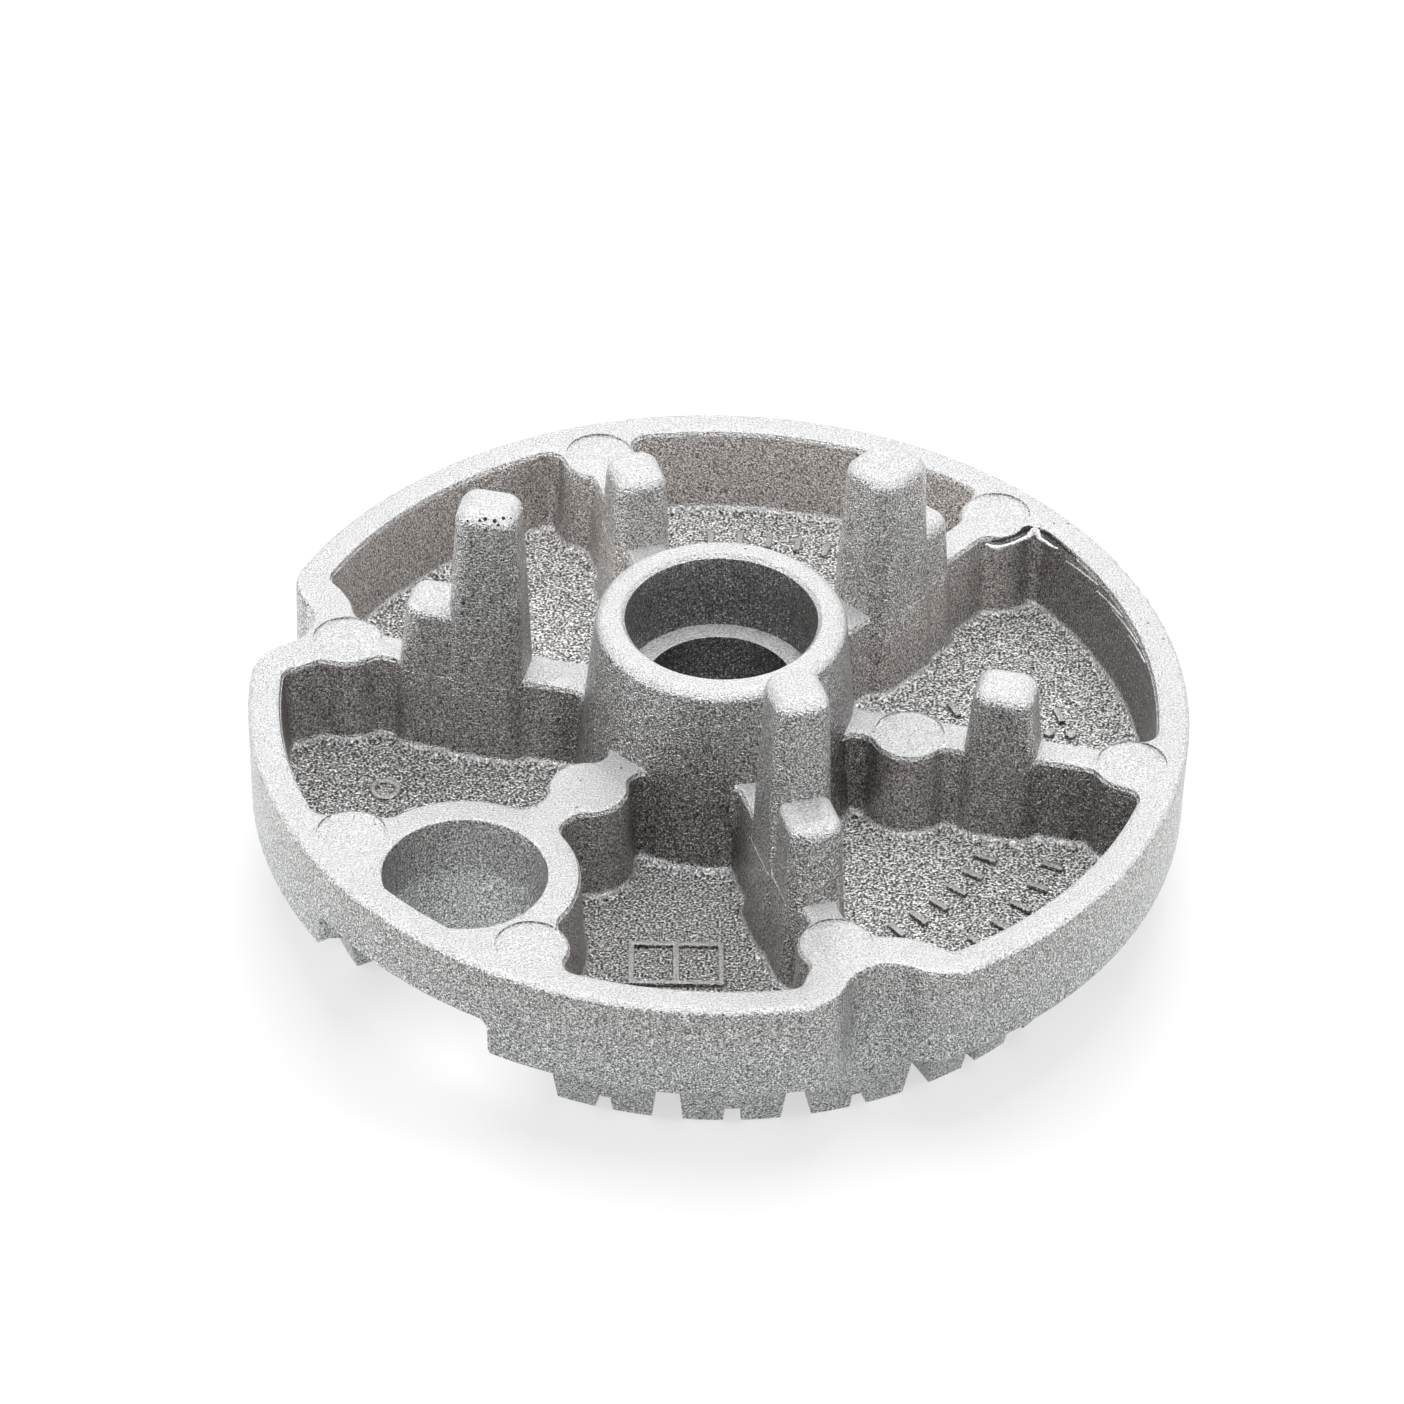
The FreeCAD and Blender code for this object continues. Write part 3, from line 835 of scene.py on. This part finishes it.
@dataclass(frozen=True)
class FloorMarks:
    """Plain raised marks on the pocket floors: a divided frame, a ring, rows of short bars and dots.

    A place is a radius and an angle. A radial row adds the angle from one bar to the next and their number.
    """

    finish: bpy.types.Material
    floor_height: float = 8.0
    deep_floor_height: float = 7.4
    sunk: float = 0.15
    proud: float = 0.36
    soft_edge: float = 0.1
    smooth_degrees: float = 40.0
    frame_middle: tuple[float, float] = (21.3, 262.8)
    frame_size: tuple[float, float] = (7.0, 4.7)
    frame_border: float = 0.42
    frame_turn: float = 1.0
    divider_room: float = 1.2
    ring_radius: float = 0.95
    ring_place: tuple[float, float] = (24.9, 186.5)
    ring_bead: float = 0.27
    ring_segments: tuple[int, int] = (40, 12)
    dot_radius: float = 0.42
    dot_edge: float = 0.12
    dot_sides: int = 20
    bar_length: float = 1.7
    bar_width: float = 0.5
    radial_rows: Sequence[tuple[float, float, float, int]] = (
        (22.0, 307.5, 5.6, 6),
        (26.8, 316.0, 5.6, 5),
        (28.4, 73.5, 4.6, 5),
    )
    cross_bars: Sequence[tuple[float, float]] = ((19.6, 24.5), (26.9, 16.6))
    dots: Sequence[tuple[float, float]] = ((25.6, 12.6), (27.2, 11.6))

    def build(self) -> bpy.types.Object:
        """Make each mark and join them as one piece.

        Returns:
            The marks.
        """
        marks = [self.blank_frame(), self.divider(), self.ring()]
        for distance, first, step, count in self.radial_rows:
            angles = [first + step * index for index in range(count)]
            marks.extend(self.floor_bar(distance, angle, angle) for angle in angles)
        marks.extend(self.floor_bar(*place, place[1] + QUARTER_TURN) for place in self.cross_bars)
        marks.extend(self.dot(*place) for place in self.dots)
        whole = joined(marks)
        bpy.ops.object.transform_apply(location=True, rotation=True, scale=True)
        bpy.ops.object.shade_smooth_by_angle(angle=math.radians(self.smooth_degrees))
        dress(whole, self.finish)
        return whole

    def blank_frame(self) -> bpy.types.Object:
        """Low rectangular border on the deep floor.

        Returns:
            The border.
        """
        bpy.ops.object.select_all(action="DESELECT")
        place = polar(*self.frame_middle, self.deep_floor_height - self.sunk)
        turn = math.radians(self.frame_turn)
        bpy.ops.mesh.primitive_plane_add(size=1.0, location=place, rotation=(0.0, 0.0, turn))
        frame = bpy.context.active_object
        frame.name = "floor_marks"
        frame.scale = (self.frame_size[0] * MM, self.frame_size[1] * MM, 1.0)
        bpy.ops.object.transform_apply(location=False, rotation=False, scale=True)
        with editing(frame):
            bpy.ops.mesh.select_all(action="SELECT")
            bpy.ops.mesh.inset(thickness=self.frame_border * MM)
            bpy.ops.mesh.delete(type="ONLY_FACE")
            bpy.ops.mesh.select_all(action="SELECT")
            rise = (0.0, 0.0, (self.sunk + self.proud) * MM)
            bpy.ops.mesh.extrude_region_move(TRANSFORM_OT_translate={"value": rise})
            bpy.ops.mesh.select_all(action="SELECT")
            bpy.ops.mesh.normals_make_consistent(inside=False)
        soften(frame, self.soft_edge)
        return frame

    def divider(self) -> bpy.types.Object:
        """Bar across the middle of the frame, let into its border at both ends."""
        length = self.frame_size[1] - self.divider_room * self.frame_border
        direction = self.frame_turn + QUARTER_TURN
        return self.bar(polar(*self.frame_middle), self.deep_floor_height, length, direction)

    def floor_bar(self, distance: float, degrees: float, direction: float) -> bpy.types.Object:
        """Short bar on one of the higher floors."""
        return self.bar(polar(distance, degrees), self.floor_height, self.bar_length, direction)

    def bar(self, middle: Vector, floor: float, length: float, degrees: float) -> bpy.types.Object:
        """Low straight bar on a floor.

        Args:
            middle: The bar's middle in metres.
            floor: The floor's height.
            length: The bar's length.
            degrees: The direction that the bar runs in.

        Returns:
            The bar.
        """
        bpy.ops.object.select_all(action="DESELECT")
        lift = Vector((0.0, 0.0, (floor + (self.proud - self.sunk) / 2) * MM))
        bpy.ops.mesh.primitive_cube_add(size=1.0, location=middle + lift)
        bar = bpy.context.active_object
        bar.scale = (length * MM, self.bar_width * MM, (self.sunk + self.proud) * MM)
        bpy.ops.object.transform_apply(location=False, rotation=False, scale=True)
        soften(bar, self.soft_edge)
        bar.rotation_euler = (0.0, 0.0, math.radians(degrees))
        return bar

    def ring(self) -> bpy.types.Object:
        """Round bead ring, half sunk in the floor.

        Returns:
            The ring.
        """
        around, across = self.ring_segments
        bpy.ops.object.select_all(action="DESELECT")
        bpy.ops.mesh.primitive_torus_add(
            location=polar(*self.ring_place, self.floor_height), major_segments=around, minor_segments=across,
            major_radius=self.ring_radius * MM, minor_radius=self.ring_bead * MM,
        )
        return bpy.context.active_object

    def dot(self, distance: float, degrees: float) -> bpy.types.Object:
        """One low round dot with a softened edge.

        Args:
            distance: The dot's distance from the bore's axis.
            degrees: The dot's angle round the axis.

        Returns:
            The dot.
        """
        bpy.ops.object.select_all(action="DESELECT")
        depth = self.sunk + self.proud
        place = polar(distance, degrees, self.floor_height + (self.proud - self.sunk) / 2)
        bpy.ops.mesh.primitive_cylinder_add(
            vertices=self.dot_sides, radius=self.dot_radius * MM, depth=depth * MM, location=place,
        )
        dot = bpy.context.active_object
        soften(dot, self.dot_edge)
        return dot


def joined(pieces: Sequence[bpy.types.Object]) -> bpy.types.Object:
    """Join pieces into the first of them.

    Args:
        pieces: The pieces to join.

    Returns:
        The first piece, which now holds them all.
    """
    take_up(pieces[0])
    for piece in pieces[1:]:
        piece.select_set(True)
    bpy.ops.object.join()
    return pieces[0]


def soften(piece: bpy.types.Object, width: float, segments: int = 2) -> None:
    """Round a piece's edges with an applied bevel.

    Args:
        piece: The mesh object to round.
        width: The bevel's width.
        segments: The number of strips in the rounding.
    """
    take_up(piece)
    modifier = piece.modifiers.new("soft", "BEVEL")
    modifier.width = width * MM
    modifier.segments = segments
    modifier.limit_method = "ANGLE"
    bpy.ops.object.modifier_apply(modifier=modifier.name)


def dress(piece: bpy.types.Object, finish: bpy.types.Material) -> None:
    """Give a piece its finish and let it ride on the casting's body.

    Args:
        piece: The piece to dress.
        finish: The piece's only material.
    """
    piece.data.materials.clear()
    piece.data.materials.append(finish)
    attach(piece, "root")


@dataclass(frozen=True)
class Viewpoint:
    """The camera, as worked out from the rim, boss and bore circles."""

    target_height: float = 15.4
    distance: float = 560.0
    elevation: float = 39.46
    roll: float = -1.47
    slide_right: float = 1.281
    slide_up: float = 0.308
    focal_length: float = 193.07
    sensor: float = 36.0
    nearest: float = 10.0

    def build(self) -> bpy.types.Object:
        """Add the camera and make it the scene's own.

        Returns:
            The camera object.
        """
        data = bpy.data.cameras.new("viewpoint")
        data.sensor_width = self.sensor
        data.lens = self.focal_length
        data.clip_start = self.nearest * MM
        camera = bpy.data.objects.new("viewpoint", data)
        bpy.context.scene.collection.objects.link(camera)
        camera.matrix_world = self.pose()
        bpy.context.scene.camera = camera
        return camera

    def pose(self) -> Matrix:
        """Work out where the camera stands and how it is turned.

        Returns:
            The camera's matrix, in metres.
        """
        down = math.radians(self.elevation)
        turn = math.radians(self.roll)
        level_right = Vector((1.0, 0.0, 0.0))
        level_up = Vector((0.0, math.sin(down), math.cos(down)))
        ahead = Vector((0.0, math.cos(down), -math.sin(down)))
        right = math.cos(turn) * level_right - math.sin(turn) * level_up
        above = math.sin(turn) * level_right + math.cos(turn) * level_up
        target = Vector((0.0, 0.0, self.target_height))
        eye = target - self.distance * ahead - self.slide_right * right - self.slide_up * above
        columns = (right, above, -ahead, eye * MM)
        rows = [[column[row] for column in columns] for row in range(3)]
        return Matrix((*rows, (0.0, 0.0, 0.0, 1.0)))


@dataclass(frozen=True)
class Lamp:
    """One soft studio lamp that points at the middle of the part, with its lengths in metres."""

    name: str
    place: Place
    size: float
    power: float
    aim: Place = (0.0, 0.0, 0.01)

    def build(self) -> None:
        """Add the lamp."""
        data = bpy.data.lights.new(self.name, "AREA")
        data.shape = "DISK"
        data.size = self.size
        data.energy = self.power
        lamp = bpy.data.objects.new(self.name, data)
        lamp.location = self.place
        toward = Vector(self.aim) - Vector(self.place)
        lamp.rotation_euler = toward.to_track_quat("-Z", "Y").to_euler()
        bpy.context.scene.collection.objects.link(lamp)


@dataclass
class Studio:
    """Pale floor, pale surroundings and soft lamps, with their lengths in metres."""

    floor_radius: float = 3.0
    floor_sides: int = 96
    floor_colour: Colour = (0.93, 0.93, 0.93)
    white: Colour = (1.0, 1.0, 1.0)
    surroundings: float = 0.4
    floor_lift: float = 0.6
    shadow_reach: Step = Step(0.07, 0.3)
    lamps: Sequence[Lamp] = field(default_factory=lambda: (
        Lamp("top_softbox", (0.0, 0.15, 0.8), 0.6, 4.0),
        Lamp("back_softbox", (0.05, 0.75, 0.6), 0.45, 2.5),
        Lamp("left_softbox", (-0.75, -0.05, 0.25), 0.4, 2.6),
        Lamp("right_softbox", (0.75, -0.05, 0.25), 0.4, 2.1),
        Lamp("front_softbox", (0.0, -0.65, 0.75), 0.4, 1.6),
    ))

    def build(self) -> None:
        """Add the floor, the world and the lamps."""
        self.floor()
        self.world()
        for lamp in self.lamps:
            lamp.build()
        bpy.context.scene.view_settings.view_transform = "Standard"

    def floor(self) -> None:
        """Add the level pale disc that the crown lies on, as white as the world away from its shadow."""
        bpy.ops.object.select_all(action="DESELECT")
        bpy.ops.mesh.primitive_circle_add(
            vertices=self.floor_sides, radius=self.floor_radius, fill_type="NGON",
        )
        disc = bpy.context.active_object
        disc.name = "studio_floor"
        made = bpy.data.materials.new("studio_floor")
        made.use_nodes = True
        bench = NodeBench(made.node_tree)
        matt = bench.node("ShaderNodeBsdfDiffuse", {}, {"Color": (*self.floor_colour, 1.0)})
        pale = bench.node("ShaderNodeEmission", {}, {"Color": (*self.white, 1.0), "Strength": 1.0})
        away = bench.node("ShaderNodeVectorMath", {"operation": "LENGTH"}, {0: bench.place(1.0)}, "Value")
        lift = self.floor_lift + (1.0 - self.floor_lift) * self.shadow_reach.of(away)
        lifted = bench.node("ShaderNodeMixShader", {}, {0: lift * seen(bench), 1: matt, 2: pale})
        made.node_tree.links.new(lifted.socket, made.node_tree.nodes["Material Output"].inputs["Surface"])
        disc.data.materials.append(made)

    def world(self) -> None:
        """Add soft grey light from all round, white where the camera or a reflection sees it."""
        world = bpy.data.worlds.new("surroundings")
        world.use_nodes = True
        bpy.context.scene.world = world
        strength = self.surroundings + (1.0 - self.surroundings) * seen(NodeBench(world.node_tree))
        sky = world.node_tree.nodes["Background"]
        sky.inputs["Color"].default_value = (*self.white, 1.0)
        world.node_tree.links.new(strength.socket, sky.inputs["Strength"])


def seen(bench: NodeBench) -> Wire:
    """Tell the rays that show a surface from those that gather light.

    Args:
        bench: The node bench of the floor's or the world's tree.

    Returns:
        1 for a ray from the camera, a reflection or a clear body, and 0 for any other.
    """
    kinds = ("Is Camera Ray", "Is Glossy Ray", "Is Transmission Ray")
    first, second, third = (bench.node("ShaderNodeLightPath", {}, {}, kind) for kind in kinds)
    return (first + second + third).clamped()


def main() -> None:
    """Build the scene in order and report each piece."""
    logging.basicConfig(level=logging.INFO, format="%(name)s: %(message)s")
    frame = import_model()
    casting = Casting(BLASTED.material()).build(frame["nodes"]["burner_crown"])
    shadow = PaintedSeamShadow().material()
    pieces = [
        casting,
        *MouldBurr(TORN.material(), shadow).build(),
        Pits(shadow).build(casting),
        FloorMarks(RAISED.material()).build(),
    ]
    for piece in pieces:
        LOG.info("piece %s with %d faces", piece.name, len(piece.data.polygons))
    Studio().build()
    LOG.info("studio floor, surroundings and lamps")
    camera = Viewpoint().build()
    LOG.info("camera %s", camera.name)


if __name__ == "__main__":
    main()
